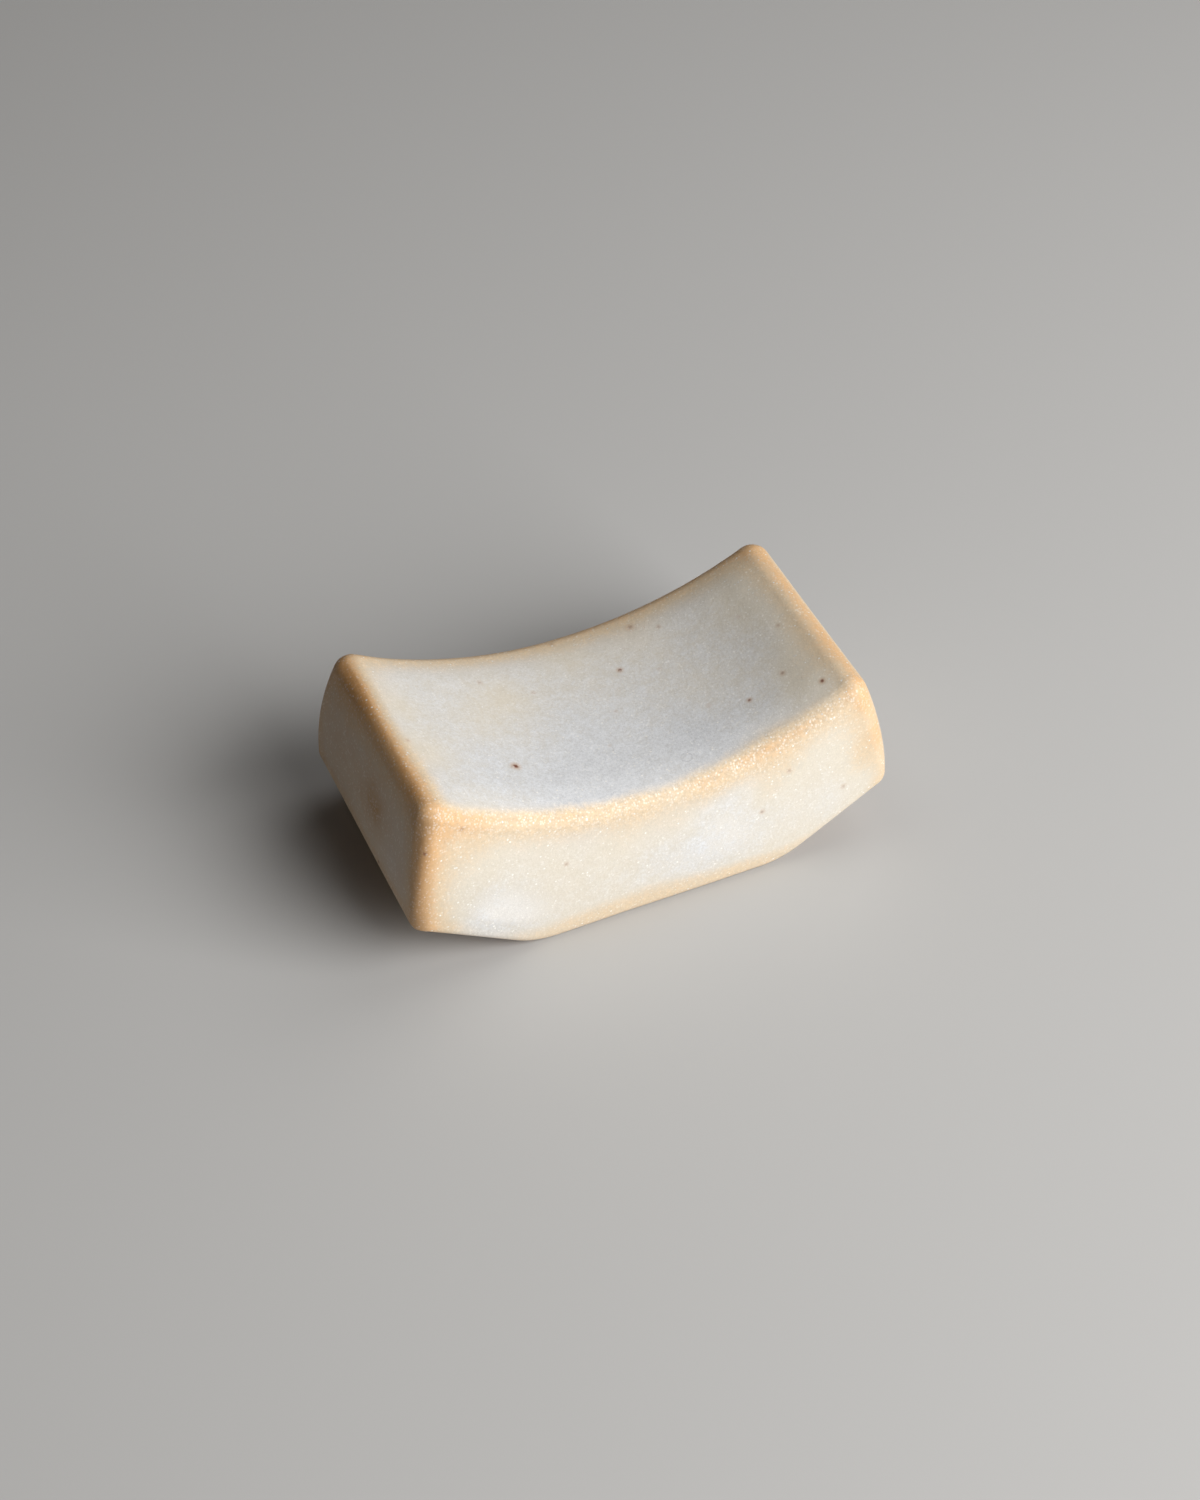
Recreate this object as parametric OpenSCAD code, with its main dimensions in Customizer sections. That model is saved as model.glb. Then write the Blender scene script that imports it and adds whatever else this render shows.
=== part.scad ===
// Chopstick rest cut from one block of stoneware, with a matt glaze over everything but its underside.
// The top is a saddle that dips along the length, the ends lean in, and the underside rises under both ends.
// Length runs along X, width along Y, and the origin is the middle of the foot on the table.

/* [Plan] */
// Length between the lower corners of the two ends
base_length = 50; // [44:0.5:60]
// Width over the foot, glaze included
foot_width = 27; // [24:0.2:32]
// Width over the top, glaze included
top_width = 24; // [20:0.1:27]
// How much narrower the foot is at the +X end than at the -X end, while the top keeps its width
foot_taper = 2.1; // [0:0.1:3]
// How far the top of the +X end leans in from its lower corner
plus_end_lean = 3.1; // [1:0.1:5]
// How far the top of the -X end leans in from its lower corner
minus_end_lean = 1.5; // [1:0.1:5]

/* [Height] */
// Height of the two top ends above the table
end_height = 19.4; // [16:0.2:24]
// Depth of the saddle below the top ends, in the middle of the width
saddle_depth = 6; // [3:0.1:8]
// How much deeper the saddle is at the back edge than at the front edge
saddle_skew = 0.5; // [0:0.1:1.5]
// Height of the lower end corners above the table
end_lift = 5.2; // [3:0.1:7]
// Length of the foot between the two creases of the underside
foot_length = 26; // [20:0.5:32]
// Depth rubbed off the foot to make it flat
foot_rubbing = 0.05; // [0.02:0.01:0.1]

/* [Softening] */
// Rounding of the top edges, glaze included
top_round = 1.7; // [1.2:0.1:2.4]
// Rounding of the lower edges, glaze included
base_round = 1.5; // [1.2:0.1:2.4]
// Rounding in plan of the four upright edges, beyond the rounding of the top and lower edges
upright_round = 0.2; // [0.1:0.1:2]
// Radius of the creases of the underside
crease_round = 8; // [3:0.5:9]
// Outward swell of the end faces at their mid height
end_swell = 0.35; // [0:0.05:1]
// Outward swell of the long faces at their mid height
side_swell = 0.35; // [0:0.05:1]

/* [Glaze] */
// Thickness of the glaze
glaze_thickness = 0.4; // [0.2:0.05:0.6]
// Angle by which the glaze turns under the lower edges before it ends
glaze_turn_under = 40; // [25:1:48]
// Angle round the lower edges over which the glaze thickens from its edge
glaze_bead_turn = 20; // [10:1:22]

/* [Hidden] */

// The core is the body without its rounding: every outer surface is the core pushed out along its normal.
// Half length of the core at the lower end corners
core_base_x = base_length/2 - base_round;
// Height of the core at the lower end corners
core_base_z = end_lift + base_round;
// Height of the core at the foot
core_foot_z = base_round - glaze_thickness - foot_rubbing;
// Half length, middle and height of the core's top
core_top_x = core_base_x - (plus_end_lean + minus_end_lean)/2;
core_top_middle = (minus_end_lean - plus_end_lean)/2;
core_top_z = end_height - top_round;
// Half width of the core at the top, and how fast it widens downwards
core_top_y = top_width/2 - top_round;
core_foot_y = foot_width/2 - base_round;
side_slope = (core_foot_y - core_top_y)/(core_top_z - core_foot_z);
// Radius of the saddle's arc along the core
saddle_radius = (core_top_x*core_top_x + saddle_depth*saddle_depth)/(2*saddle_depth);

// The underside runs flat, round a crease and straight up to the lower end corner.
crease_x = foot_length/2;
crease_turn = atan2(core_base_z - core_foot_z, core_base_x - crease_x);
crease_tangent = crease_round*tan(crease_turn/2);
flat_run = crease_x - crease_tangent;
crease_run = crease_round*crease_turn*PI/180;
facet_run = norm([core_base_x - crease_x, core_base_z - core_foot_z]) - crease_tangent;
underside_run = flat_run + crease_run + facet_run;

// Power that keeps the swell of the ends near the ends
swell_power = 8;

// Steps along each long side, round each upright edge, round each edge, up the walls and under the bead
side_steps = 24;
corner_steps = 5;
round_steps = 6;
wall_steps = 5;
bead_steps = 3;
bare_steps = 3;

// Stations of one ring: share of the length, share of the width, and the heading that the rounding pushes to.
corner_shares = [[-1, -1], [1, -1], [1, 1], [-1, 1]];
upright_shares = [upright_round/core_base_x, upright_round/core_foot_y];
function station(corner, heading) = [
    corner[0]*(1 - upright_shares[0]) + cos(heading)*upright_shares[0],
    corner[1]*(1 - upright_shares[1]) + sin(heading)*upright_shares[1],
    heading
];
function side_of(q) = let (
        heading = 90*(q - 1),
        from = station(corner_shares[q], heading),
        to = station(corner_shares[(q + 1) % 4], heading),
        n = q % 2 == 0 ? side_steps : 1
    ) concat(
        [for (i = [0:n - 1]) from + (to - from)*i/n],
        [for (i = [0:corner_steps - 1]) station(corner_shares[(q + 1) % 4], heading + 90*i/corner_steps)]
    );
stations = [for (q = [0:3]) each side_of(q)];
ring_size = len(stations);

// Underside of the core at length share a: x, z and the angle that it has turned upwards
function underside(a) = let (
        run = abs(a)*underside_run,
        turn = min(max((run - flat_run)/crease_run, 0), 1)*crease_turn,
        rest = max(run - flat_run - crease_run, 0)
    ) [
        sign(a)*(min(run, flat_run) + crease_round*sin(turn) + rest*cos(turn)),
        core_foot_z + crease_round*(1 - cos(turn)) + rest*sin(turn),
        sign(a)*turn
    ];

// Top of the core at length share a: x, the share of the saddle's depth reached there, and the angle of its slope
function saddle(a) = let (
        turn = asin(a*core_top_x/saddle_radius)
    ) [
        core_top_middle + a*core_top_x,
        1 - saddle_radius*(1 - cos(turn))/saddle_depth,
        turn
    ];

// Point of the core at station st and wall share up, from 0 at the underside to 1 at the top
function core(st, up) = let (
        below = underside(st[0]),
        above = saddle(st[0]),
        swell = 4*up*(1 - up),
        end = sign(st[0])*pow(abs(st[0]), swell_power),
        top_z = core_top_z - (saddle_depth + st[1]*saddle_skew/2)*above[1],
        z = below[1] + (top_z - below[1])*up,
        taper = st[0]*foot_taper/4*(1 - up),
        half_width = core_top_y + side_slope*(core_top_z - z) + side_swell*swell - taper
    ) [
        below[0] + (above[0] - below[0])*up + end*end_swell*swell,
        st[1]*half_width,
        z
    ];

// Outward direction at station st, wall share up and tilt, which runs from -90 below to 90 above
function outward(st, up, tilt) = let (
        end_wall = core_top_z - core_base_z,
        lean = (plus_end_lean + minus_end_lean)/2 + st[0]*(plus_end_lean - minus_end_lean)/2,
        across = [end_wall, lean]/norm([end_wall, lean]),
        along = [1, side_slope]/norm([1, side_slope]),
        curl = 4*(1 - 2*up)/end_wall,
        ahead = cos(tilt)*cos(st[2]),
        aside = cos(tilt)*sin(st[2]),
        cap = tilt > 0 ? saddle(st[0])[2] : underside(st[0])[2],
        fall = tilt > 0 ? saddle(st[0])[1]*saddle_skew/(2*core_top_y) : 0,
        n = [
            ahead*across[0] - sin(tilt)*sin(cap),
            aside*along[0] + sin(tilt)*fall,
            abs(ahead)*(across[1] - end_swell*curl) + abs(aside)*(along[1] - side_swell*curl) + sin(tilt)*cos(cap)
        ]
    ) n/norm(n);

// One ring of points for a row, which is a wall share and a tilt, skin thick over the clay
function ring(row, skin) = let (
        r = base_round + (top_round - base_round)*row[0] - glaze_thickness + skin
    ) [for (st = stations) core(st, row[0]) + r*outward(st, row[0], row[1])];

// Rows of the bare underside, and of all that the glaze covers from its edge up to the saddle
bare_rows = [for (i = [0:bare_steps - 1]) [0, -90 + (90 - glaze_turn_under)*i/bare_steps]];
bead_rows = [for (i = [0:bead_steps - 1]) [0, -glaze_turn_under + glaze_bead_turn*i/bead_steps]];
wrap_rows = [for (i = [0:round_steps/2 - 1]) [0, (glaze_bead_turn - glaze_turn_under)*(1 - 2*i/round_steps)]];
wall_rows = [for (i = [0:wall_steps - 1]) [i/wall_steps, 0]];
brow_rows = [for (i = [0:round_steps]) [1, 90*i/round_steps]];
covered_rows = concat(bead_rows, wrap_rows, wall_rows, brow_rows);

// Thickness of the glaze on covered row i: a rounded bead that grows from nothing at its edge
function skin_at(i) = i < bead_steps ? glaze_thickness*sqrt(1 - pow(1 - i/bead_steps, 2)) : glaze_thickness;

// Closed solid through a list of rings, with both ends spanned straight across the width
module solid_through(rings) {
    last = len(rings) - 1;
    mirror_of = 2*(side_steps + corner_steps) + 1;
    function at(k, i) = k*ring_size + (i + ring_size) % ring_size;
    bands = [
        for (k = [0:last - 1], i = [0:ring_size - 1])
            each [
                [at(k, i), at(k + 1, i), at(k + 1, i + 1)],
                [at(k, i), at(k + 1, i + 1), at(k, i + 1)]
            ]
    ];
    caps = [
        for (i = [-corner_steps:side_steps + corner_steps - 1])
            let (j = mirror_of - i)
                each [
                    [at(0, i), at(0, i + 1), at(0, j - 1)],
                    [at(0, i), at(0, j - 1), at(0, j)],
                    [at(last, i), at(last, j - 1), at(last, i + 1)],
                    [at(last, i), at(last, j), at(last, j - 1)]
                ]
    ];
    polyhedron([for (r = rings) each r], concat(bands, caps));
}

// Fired stoneware block, with its foot rubbed flat on the table plane
module clay_body() {
    color("burlywood")
        intersection() {
            solid_through([for (row = concat(bare_rows, covered_rows)) ring(row, 0)]);
            translate([-base_length, -foot_width, 0])
                cube([2*base_length, 2*foot_width, 2*end_height]);
        }
}

// Glaze over the saddle, sides and ends, lying on the clay down to its rounded edge
module glaze_coat() {
    last = len(covered_rows) - 1;
    color("antiquewhite")
        solid_through(concat(
            [for (i = [0:last]) ring(covered_rows[last - i], 0)],
            [for (i = [1:last]) ring(covered_rows[i], skin_at(i))]
        ));
}

clay_body();
glaze_coat();
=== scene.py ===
"""Glazed stoneware chopstick rest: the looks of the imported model, as an add-on that runs as a script."""

import math

import bpy
import numpy as np
from bpy.props import FloatProperty, FloatVectorProperty, IntProperty, PointerProperty
from mathutils import Matrix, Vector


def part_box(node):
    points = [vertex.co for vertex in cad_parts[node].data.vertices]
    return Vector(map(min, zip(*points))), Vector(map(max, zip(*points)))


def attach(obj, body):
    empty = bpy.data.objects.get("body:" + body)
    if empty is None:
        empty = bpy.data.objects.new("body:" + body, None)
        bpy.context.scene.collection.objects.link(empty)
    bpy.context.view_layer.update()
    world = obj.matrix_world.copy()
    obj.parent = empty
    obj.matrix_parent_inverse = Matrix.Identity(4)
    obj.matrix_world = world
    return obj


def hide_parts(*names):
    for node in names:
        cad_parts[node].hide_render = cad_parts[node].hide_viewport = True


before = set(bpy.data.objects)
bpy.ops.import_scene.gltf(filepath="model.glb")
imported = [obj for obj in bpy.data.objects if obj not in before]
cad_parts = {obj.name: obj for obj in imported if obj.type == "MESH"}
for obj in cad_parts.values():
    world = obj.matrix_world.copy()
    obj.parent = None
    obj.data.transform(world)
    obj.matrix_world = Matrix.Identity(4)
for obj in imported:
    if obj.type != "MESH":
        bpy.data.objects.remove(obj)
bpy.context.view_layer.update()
GLAZE_LOW, GLAZE_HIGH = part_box("glaze_coat")

bl_info = {
    "name": "Glazed chopstick rest",
    "version": (1, 0, 0),
    "blender": (4, 5, 0),
    "location": "View3D > Sidebar > Chopstick rest",
    "description": "Saddle-topped stoneware rest with a matt glaze that breaks to amber on its edges",
    "category": "Add Mesh",
}

MM = 0.001
QUARTER_TURN = math.pi / 2
PHOTO_WIDTH = 1200
PHOTO_HEIGHT = 1500
SENSOR_WIDTH = 36.0
NEAREST_SEEN = 10 * MM

# Cosines to the line of sight above which a face is well in sight, and below which it's well out of sight
SEEN_FACING = 0.15
HIDDEN_FACING = -0.1


def number(name, description, default, low=0.0, **extra):
    """A number of low or more."""
    return FloatProperty(name=name, description=description, default=default, min=low, **extra)


def length(name, description, default, low=0.0):
    """A size in metres, shown with the scene's length unit."""
    return number(name, description, default, low, subtype="DISTANCE", unit="LENGTH", precision=5)


def angle(name, description, degrees):
    """An angle, kept in radians."""
    return number(name, description, math.radians(degrees), -math.pi, subtype="ANGLE", unit="ROTATION")


def share(name, description, default):
    """A number from nothing to a whole."""
    return number(name, description, default, max=1.0, subtype="FACTOR")


def colour(name, description, default):
    """A linear colour without alpha."""
    return FloatVectorProperty(name=name, description=description, default=default, size=3,
                               min=0.0, max=1.0, subtype="COLOR")


class RestSizes(bpy.types.PropertyGroup):
    """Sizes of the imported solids, and of the fine relief that only this scene has."""

    base_length: length("Base length", "Length between the lower end corners", GLAZE_HIGH.x - GLAZE_LOW.x)
    end_height: length("End height", "Height of the two top ends above the table", GLAZE_HIGH.z)
    foot_width: length("Foot width", "Width over the foot, glaze included", 0.027)
    top_width: length("Top width", "Width over the top, glaze included", 0.024)
    foot_taper: length("Foot taper", "How much narrower the foot is at the +X end", 0.0021)
    plus_end_lean: length("Lean of +X end", "How far the top of the +X end leans in", 0.0031)
    minus_end_lean: length("Lean of -X end", "How far the top of the -X end leans in", 0.0015)
    saddle_depth: length("Saddle depth", "Depth of the saddle below the top ends, mid width", 0.006)
    saddle_skew: length("Saddle skew", "How much deeper the saddle is at the back edge", 0.0005)
    end_lift: length("End lift", "Height of the lower end corners above the table", 0.0052)
    foot_length: length("Foot length", "Length of the foot, between the creases", 0.026)
    foot_rubbing: length("Foot rubbing", "Depth rubbed off the foot to make it flat", 0.00005)
    top_round: length("Top rounding", "Rounding of the top edges, glaze included", 0.0017)
    base_round: length("Base rounding", "Rounding of the lower edges, glaze included", 0.0015)
    upright_round: length("Upright rounding", "Extra rounding in plan of the upright edges", 0.0002)
    crease_round: length("Crease rounding", "Radius of the creases underneath", 0.008)
    end_swell: length("End swell", "Outward swell of the end faces at mid height", 0.00035)
    side_swell: length("Side swell", "Outward swell of the long faces at mid height", 0.00035)
    glaze_thickness: length("Glaze thickness", "Thickness of the glaze", 0.0004)
    glaze_turn_under: angle("Glaze turn", "How far the glaze turns under the lower edges", 40)
    glaze_bead_turn: angle("Glaze bead", "Angle over which the glaze thickens from its edge", 20)
    crown: length("Crown", "How far the saddle swells between its crests", 0.00048)
    crown_front: length("Crown at the front", "How far in from the front edge the crown is full", 0.0043)
    crown_back: length("Crown at the back", "The same from the back edge", 0.0048)
    crown_left: length("Crown at the -X end", "The same from the -X edge", 0.0080)
    crown_right: length("Crown at the +X end", "The same from the +X edge", 0.0048)
    top_ridge: length("Top ridge", "How far the -X end's top edge stands out", 0.00015)
    upright_ridge: length("Upright ridge", "How far the upright edge between -X and -Y stands out", 0.00022)
    ridge_width: length("Ridge width", "Reach of the ridges to each side", 0.00075)
    ridge_low: length("Ridge foot", "How far forward the upright ridge lies at its foot", -0.0004, low=-0.01)
    ridge_high: length("Ridge top", "How far forward the upright ridge lies at its top", 0.0006)
    slow_relief: length("Slow relief", "Height of the hand-cut unevenness", 0.00004)
    ripple_relief: length("Ripple relief", "Height of the ripple of the glaze", 0.000005)
    grit_relief: length("Grit relief", "Height of the grit of the bare clay", 0.00002)
    long_steps: IntProperty(name="Long steps", description="Faces along each long side", default=190, min=8)
    cross_steps: IntProperty(name="Cross steps", description="Faces across each end", default=96, min=4)


class GlazeFinish(bpy.types.PropertyGroup):
    """Colours and texture of the glaze."""

    white: colour("White glaze", "Glaze where it has pooled", (0.84, 0.82, 0.79))
    cool: colour("Cool glaze", "Glaze where it lies thick", (0.69, 0.706, 0.735))
    cream: colour("Cream glaze", "Glaze of ordinary thickness", (0.748, 0.692, 0.592))
    tan: colour("Tan glaze", "Glaze where it begins to break over an edge", (0.742, 0.598, 0.424))
    amber: colour("Amber glaze", "Glaze where it breaks over an edge", (0.73, 0.47, 0.25))
    toast: colour("Toasted glaze", "Glaze at the thinnest line of an edge", (0.6, 0.325, 0.13))
    # Crystal colour: the crystals' own paleness, and at the brightest of them painted glints
    crystal: colour("Crystals", "Fine pale crystals in the glaze", (0.95, 0.93, 0.89))
    # Painted shade: a darker colour, with some of the glaze's own warmer tone, for the -X end that faces
    # away from the key lamp
    smoked: colour("Smoked glaze", "Glaze darkened on the -X end", (0.5, 0.3, 0.15))
    iron: colour("Iron", "Iron that has melted through the glaze", (0.18, 0.06, 0.034))
    rust: colour("Rust", "Stain round an iron speck", (0.52, 0.32, 0.19))
    roughness: share("Roughness", "Roughness of the glaze", 0.55)
    sheen_level: share("Specular level", "Strength of the glaze's reflection", 0.3)
    grain_height: length("Grain height", "Height of the sugary grain of the glaze", 0.000025)
    crystal_rate: number("Crystal rate", "Crystals in a millimetre", 4.4)
    crystal_roughness: share("Crystal roughness", "Roughness of the crystals' faces", 0.30)
    facet_tilt: share("Facet tilt", "How far the crystals' faces tilt", 0.5)


class ClayFinish(bpy.types.PropertyGroup):
    """Colours and texture of the bare stoneware."""

    buff: colour("Buff", "Fired clay", (0.56, 0.395, 0.245))
    flash: colour("Flash", "Clay toasted beside the glaze", (0.5, 0.27, 0.12))
    grog: colour("Grog", "Pale grains in the clay", (0.72, 0.6, 0.44))
    iron: colour("Iron", "Dark grains in the clay", (0.09, 0.05, 0.035))
    grain_rate: number("Grain rate", "Grains in a millimetre", 1.9)
    roughness: share("Roughness", "Roughness of the clay", 0.82)
    grit_height: length("Grit height", "Height of the grit of the clay", 0.00006)


class Studio(bpy.types.PropertyGroup):
    """Camera, lamps and floor."""

    elevation: angle("Elevation", "Angle of the camera above the table", 44.38)
    turn: angle("Turn", "Turn of the length away from the picture plane", 26.0)
    roll: angle("Roll", "Roll of the camera", -2.44)
    distance: length("Distance", "From the camera to the origin, along the view", 0.2672)
    aim_right: length("Aim right", "How far right of the picture's middle the origin is", 0.00021, low=-1.0)
    aim_up: length("Aim up", "How far above the picture's middle the origin is", -0.00601, low=-1.0)
    focal_pixels: number("Focal length", "Focal length in pixels of the picture", 2699.0)
    lamp_distance: length("Lamp distance", "Distance of the lamps from the object", 0.5)
    key_power: number("Key lamp", "Its power", 3.64, unit="POWER")
    key_size: length("Key lamp size", "Side of its soft box", 0.42)
    key_elevation: angle("Key lamp elevation", "Its height as an angle", 34)
    key_azimuth: angle("Key lamp azimuth", "Its direction from the +X axis", -56)
    key_colour: colour("Key lamp colour", "Its colour", (1.0, 0.985, 0.96))
    fill_power: number("Fill lamp", "Its power", 0.38, unit="POWER")
    fill_size: length("Fill lamp size", "Side of its soft box", 0.3)
    fill_elevation: angle("Fill lamp elevation", "Its height as an angle", 55)
    fill_azimuth: angle("Fill lamp azimuth", "Its direction from the +X axis", 25)
    fill_colour: colour("Fill lamp colour", "Its colour", (1.0, 0.985, 0.96))
    sky_colour: colour("Sky colour", "Colour of the light from all round", (1.0, 0.92, 0.84))
    sky_strength: number("Sky strength", "Its strength", 0.046)
    floor_colour: colour("Floor", "Colour of the floor", (0.54, 0.54, 0.54))
    floor_roughness: share("Floor roughness", "Roughness of the floor", 0.9)
    floor_sheen: share("Floor sheen", "Strength of the floor's reflection", 0.2)
    floor_size: length("Floor size", "Side of the square floor", 3.0)


class RestShape:
    """The rounded block: a core of flat and curved faces, pushed out along its normals by the rounding."""

    # Power that keeps the swell of the ends near the ends
    SWELL_POWER = 8

    def __init__(self, sizes):
        s = self.sizes = sizes
        self.base_x = s.base_length / 2 - s.base_round
        self.base_z = s.end_lift + s.base_round
        self.foot_z = s.base_round - s.glaze_thickness - s.foot_rubbing
        self.top_x = self.base_x - (s.plus_end_lean + s.minus_end_lean) / 2
        self.top_middle = (s.minus_end_lean - s.plus_end_lean) / 2
        self.top_z = s.end_height - s.top_round
        self.top_y = s.top_width / 2 - s.top_round
        self.foot_y = s.foot_width / 2 - s.base_round
        self.side_slope = (self.foot_y - self.top_y) / (self.top_z - self.foot_z)
        self.saddle_radius = (self.top_x**2 + s.saddle_depth**2) / (2 * s.saddle_depth)
        run = self.base_x - s.foot_length / 2
        rise = self.base_z - self.foot_z
        self.crease_turn = math.atan2(rise, run)
        tangent = s.crease_round * math.tan(self.crease_turn / 2)
        self.flat_run = s.foot_length / 2 - tangent
        self.crease_run = s.crease_round * self.crease_turn
        self.underside_run = self.flat_run + self.crease_run + math.hypot(run, rise) - tangent

    def stations(self, long_steps, cross_steps, corner_steps):
        """Rows of length share, width share and heading round the block, seen from above: straight sides and
        quarter circles, which start at the corner of the -X end and the -Y face and run towards +X."""
        round_x = self.sizes.upright_round / self.base_x
        round_y = self.sizes.upright_round / self.foot_y
        corners = ((-1, -1), (1, -1), (1, 1), (-1, 1))

        def turned(corner, heading):
            a = corner[0] * (1 - round_x) + np.cos(heading) * round_x
            c = corner[1] * (1 - round_y) + np.sin(heading) * round_y
            return np.stack([a, c, heading], -1)

        runs = []
        for side in range(4):
            heading = QUARTER_TURN * (side - 1)
            corner = corners[(side + 1) % 4]
            start = turned(corners[side], heading)
            end = turned(corner, heading)
            steps = cross_steps if side % 2 else long_steps
            runs.append(start + (end - start) * (np.arange(steps) / steps)[:, None])
            runs.append(turned(corner, heading + QUARTER_TURN * np.arange(corner_steps) / corner_steps))
        return np.concatenate(runs)

    def underside(self, a):
        """x, z and slope of the core's underside at length share a, measured along it: flat, then an arc and
        then straight up to the end."""
        round_ = self.sizes.crease_round
        run = np.abs(a) * self.underside_run
        turn = np.clip((run - self.flat_run) / self.crease_run, 0, 1) * self.crease_turn
        rest = np.maximum(run - self.flat_run - self.crease_run, 0)
        x = np.minimum(run, self.flat_run) + round_ * np.sin(turn) + rest * np.cos(turn)
        z = self.foot_z + round_ * (1 - np.cos(turn)) + rest * np.sin(turn)
        return np.sign(a) * x, z, np.sign(a) * turn

    def saddle(self, a):
        """x of the core's top at length share a, the share of the saddle's depth there, and the slope of the
        one arc of a circle that it is."""
        turn = np.arcsin(a * self.top_x / self.saddle_radius)
        dip = 1 - self.saddle_radius * (1 - np.cos(turn)) / self.sizes.saddle_depth
        return self.top_middle + a * self.top_x, dip, turn

    def surface(self, a, c, heading, up, tilt, skin):
        """Points and outward normals of the surface, skin over the clay. A core point lies at share up
        of the line from the underside to the saddle, with a swell of 4 up (1 - up), and at share c of the
        width. The rounding pushes it out along the sum of the wall's, side's and cap's normals, weighted by
        the cosine and sine of the tilt and of the heading."""
        a, c, heading, up, tilt, skin = np.broadcast_arrays(a, c, heading, up, tilt, skin)
        s = self.sizes
        low_x, low_z, low_turn = self.underside(a)
        top_x, dip, top_turn = self.saddle(a)
        top_z = self.top_z - (s.saddle_depth + c * s.saddle_skew / 2) * dip
        swell = 4 * up * (1 - up)
        z = low_z + (top_z - low_z) * up
        half_width = self.top_y + self.side_slope * (self.top_z - z) + s.side_swell * swell
        half_width = half_width - a * s.foot_taper / 4 * (1 - up)
        end = np.sign(a) * np.abs(a) ** self.SWELL_POWER
        core = np.stack([low_x + (top_x - low_x) * up + end * s.end_swell * swell, c * half_width, z], -1)

        wall = self.top_z - self.base_z
        lean = (s.plus_end_lean + s.minus_end_lean) / 2 + a * (s.plus_end_lean - s.minus_end_lean) / 2
        slant = np.hypot(wall, lean)
        side = math.hypot(1, self.side_slope)
        curl = 4 * (1 - 2 * up) / wall
        ahead = np.cos(tilt) * np.cos(heading)
        aside = np.cos(tilt) * np.sin(heading)
        cap = np.where(tilt > 0, top_turn, low_turn)
        rise = np.abs(ahead) * (lean / slant - s.end_swell * curl)
        rise = rise + np.abs(aside) * (self.side_slope / side - s.side_swell * curl)
        rise = rise + np.sin(tilt) * np.cos(cap)
        fall = np.where(tilt > 0, dip * s.saddle_skew / (2 * self.top_y), 0)
        across = aside / side + np.sin(tilt) * fall
        normal = np.stack([ahead * wall / slant - np.sin(tilt) * np.sin(cap), across, rise], -1)
        normal /= np.linalg.norm(normal, axis=-1, keepdims=True)
        radius = s.base_round + (s.top_round - s.base_round) * up - s.glaze_thickness + skin
        return core + radius[..., None] * normal, normal

    def bead(self, tilt, up):
        """Thickness of the glaze: nothing at its edge, then a quarter ellipse over the bead's turn."""
        s = self.sizes
        grown = np.clip((tilt + s.glaze_turn_under) / s.glaze_bead_turn, 0, 1)
        return s.glaze_thickness * np.where(up > 0, 1.0, np.sqrt(1 - (1 - grown) ** 2))


class Skin:
    """A closed surface through rings of one number of stations, with a grid across each end ring."""

    CORNER_STEPS = 8

    def __init__(self, shape):
        self.shape = shape
        self.long_steps = shape.sizes.long_steps
        self.cross_steps = shape.sizes.cross_steps
        self.ring = shape.stations(self.long_steps, self.cross_steps, self.CORNER_STEPS)
        self.size = len(self.ring)
        self.parameters = []
        self.quads = []
        self.count = 0

    def rows(self, up, tilt, covered):
        """Adds one ring for each up and tilt, and joins each ring to the one before it. covered is 1 for the
        glaze's outer face and 0 for the clay's."""
        values = np.stack(np.broadcast_arrays(up, tilt, covered), -1)
        rings = len(values)
        around = np.broadcast_to(self.ring, (rings, *self.ring.shape))
        spread = np.broadcast_to(values[:, None], around.shape)
        self.parameters.append(np.concatenate([around, spread], -1).reshape(-1, 6))
        first = max(self.count - self.size, 0)
        self.count += rings * self.size
        lines = np.arange(first, self.count).reshape(-1, self.size)
        ahead = np.roll(lines, -1, axis=1)
        self.quads.append(np.stack([lines[:-1], ahead[:-1], ahead[1:], lines[1:]], -1).reshape(-1, 4))

    def cap(self, first, up, tilt, covered, upward):
        """Spans the ring that starts at point number first by a grid of straight lines across the width. The
        grid's edge is the ring itself."""
        bends = self.CORNER_STEPS
        line = np.arange(-bends, self.long_steps + bends + 1)
        near = line % self.size
        far = (2 * (self.long_steps + bends) + self.cross_steps - line) % self.size
        across = np.arange(self.cross_steps + 1)
        grid = np.zeros((len(line), len(across)), int)
        grid[:, 0] = first + near
        grid[:, -1] = first + far
        grid[0] = first + self.size - bends - across
        grid[-1] = first + self.long_steps + bends + across
        a = self.ring[near[1:-1], 0][:, None]
        c = self.ring[near[1:-1], 1][:, None] * (1 - 2 * across[1:-1] / self.cross_steps)
        self.parameters.append(np.stack(np.broadcast_arrays(a, c, 0, up, tilt, covered), -1).reshape(-1, 6))
        grid[1:-1, 1:-1] = self.count + np.arange(c.size).reshape(c.shape)
        self.count += c.size
        quads = np.stack([grid[:-1, :-1], grid[1:, :-1], grid[1:, 1:], grid[:-1, 1:]], -1).reshape(-1, 4)
        self.quads.append(quads if upward else quads[:, ::-1])

    def solved(self):
        """Points, normals, parameters and faces of the whole surface."""
        p = np.concatenate(self.parameters)
        a, c, heading, up, tilt, covered = p.T
        skin = covered * self.shape.bead(tilt, up)
        points, normals = self.shape.surface(a, c, heading, up, tilt, skin)
        return points, normals, p, np.concatenate(self.quads)


def span(start, end, steps):
    """Steps values from start, up to but without end."""
    return start + (end - start) * np.arange(steps) / steps


def reached(start, end, steps):
    """Steps values from beyond start, up to and with end."""
    return span(start, end, steps) + (end - start) / steps


def ramp(value, low, high):
    """0 at low and before it, 1 at high and beyond it, and an even rise between; low may lie above high."""
    return np.clip((value - low) / (high - low), 0, 1)


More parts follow.
